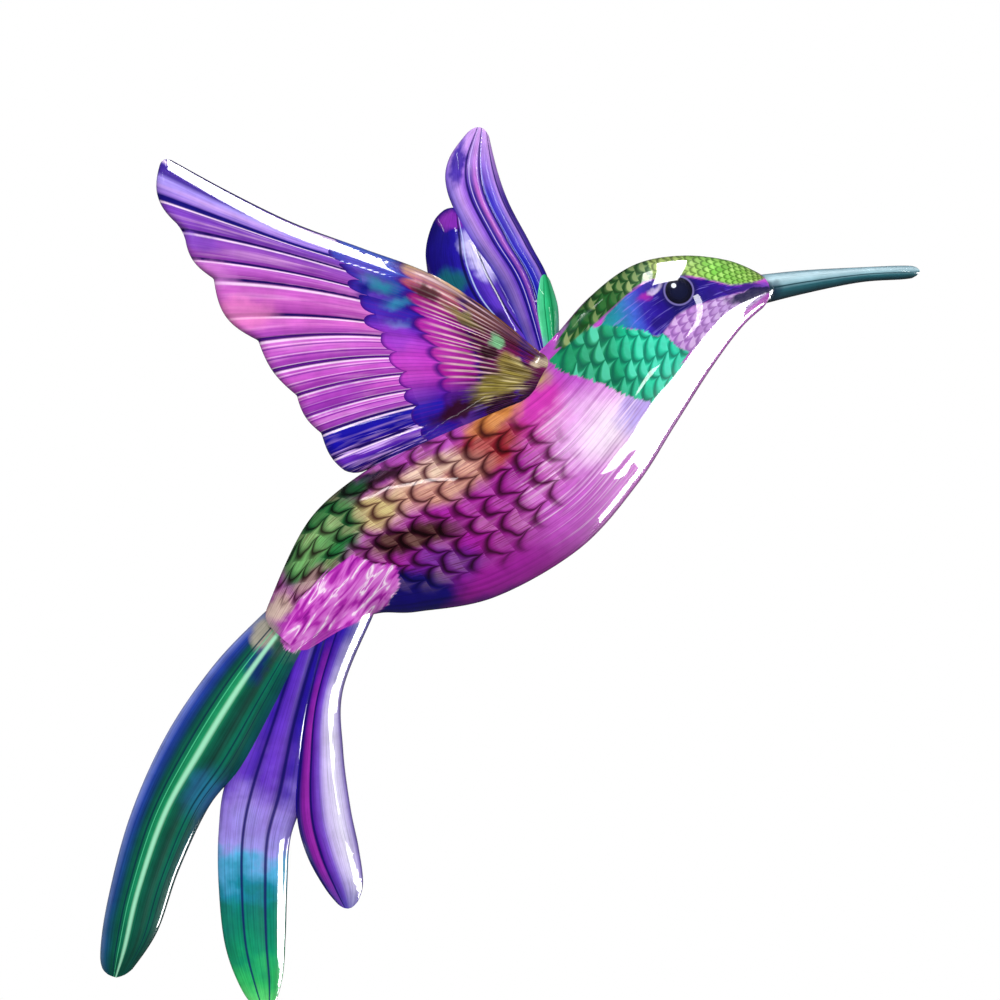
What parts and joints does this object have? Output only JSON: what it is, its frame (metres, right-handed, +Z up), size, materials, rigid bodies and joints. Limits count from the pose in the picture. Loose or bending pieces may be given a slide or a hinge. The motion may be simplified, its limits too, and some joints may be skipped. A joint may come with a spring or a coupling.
{
  "type": "metal wall art",
  "caption": "Hummingbird in flight pressed from thin sheet metal, with domed body, feathered wings and long curved tail, glossy printed feather colours and a hanging strap behind",
  "frame": {"origin": "the middle of the hanging strap's wall-side face, above the bird's balance point", "axes": "+Z up, +X towards the beak, +Y into the wall; the painted front looks along -Y and the wall is the plane y = 0"},
  "size_m": [0.2809, 0.0241, 0.3054],
  "materials": {
    "printed_enamel": "gloss lacquer over a printed feather pattern",
    "zinc_plate": "zinc plated, satin"
  },
  "bodies": {
    "root": {"pressed_bird": "printed_enamel", "hanging_strap": "zinc_plate"}
  },
  "joints": []
}
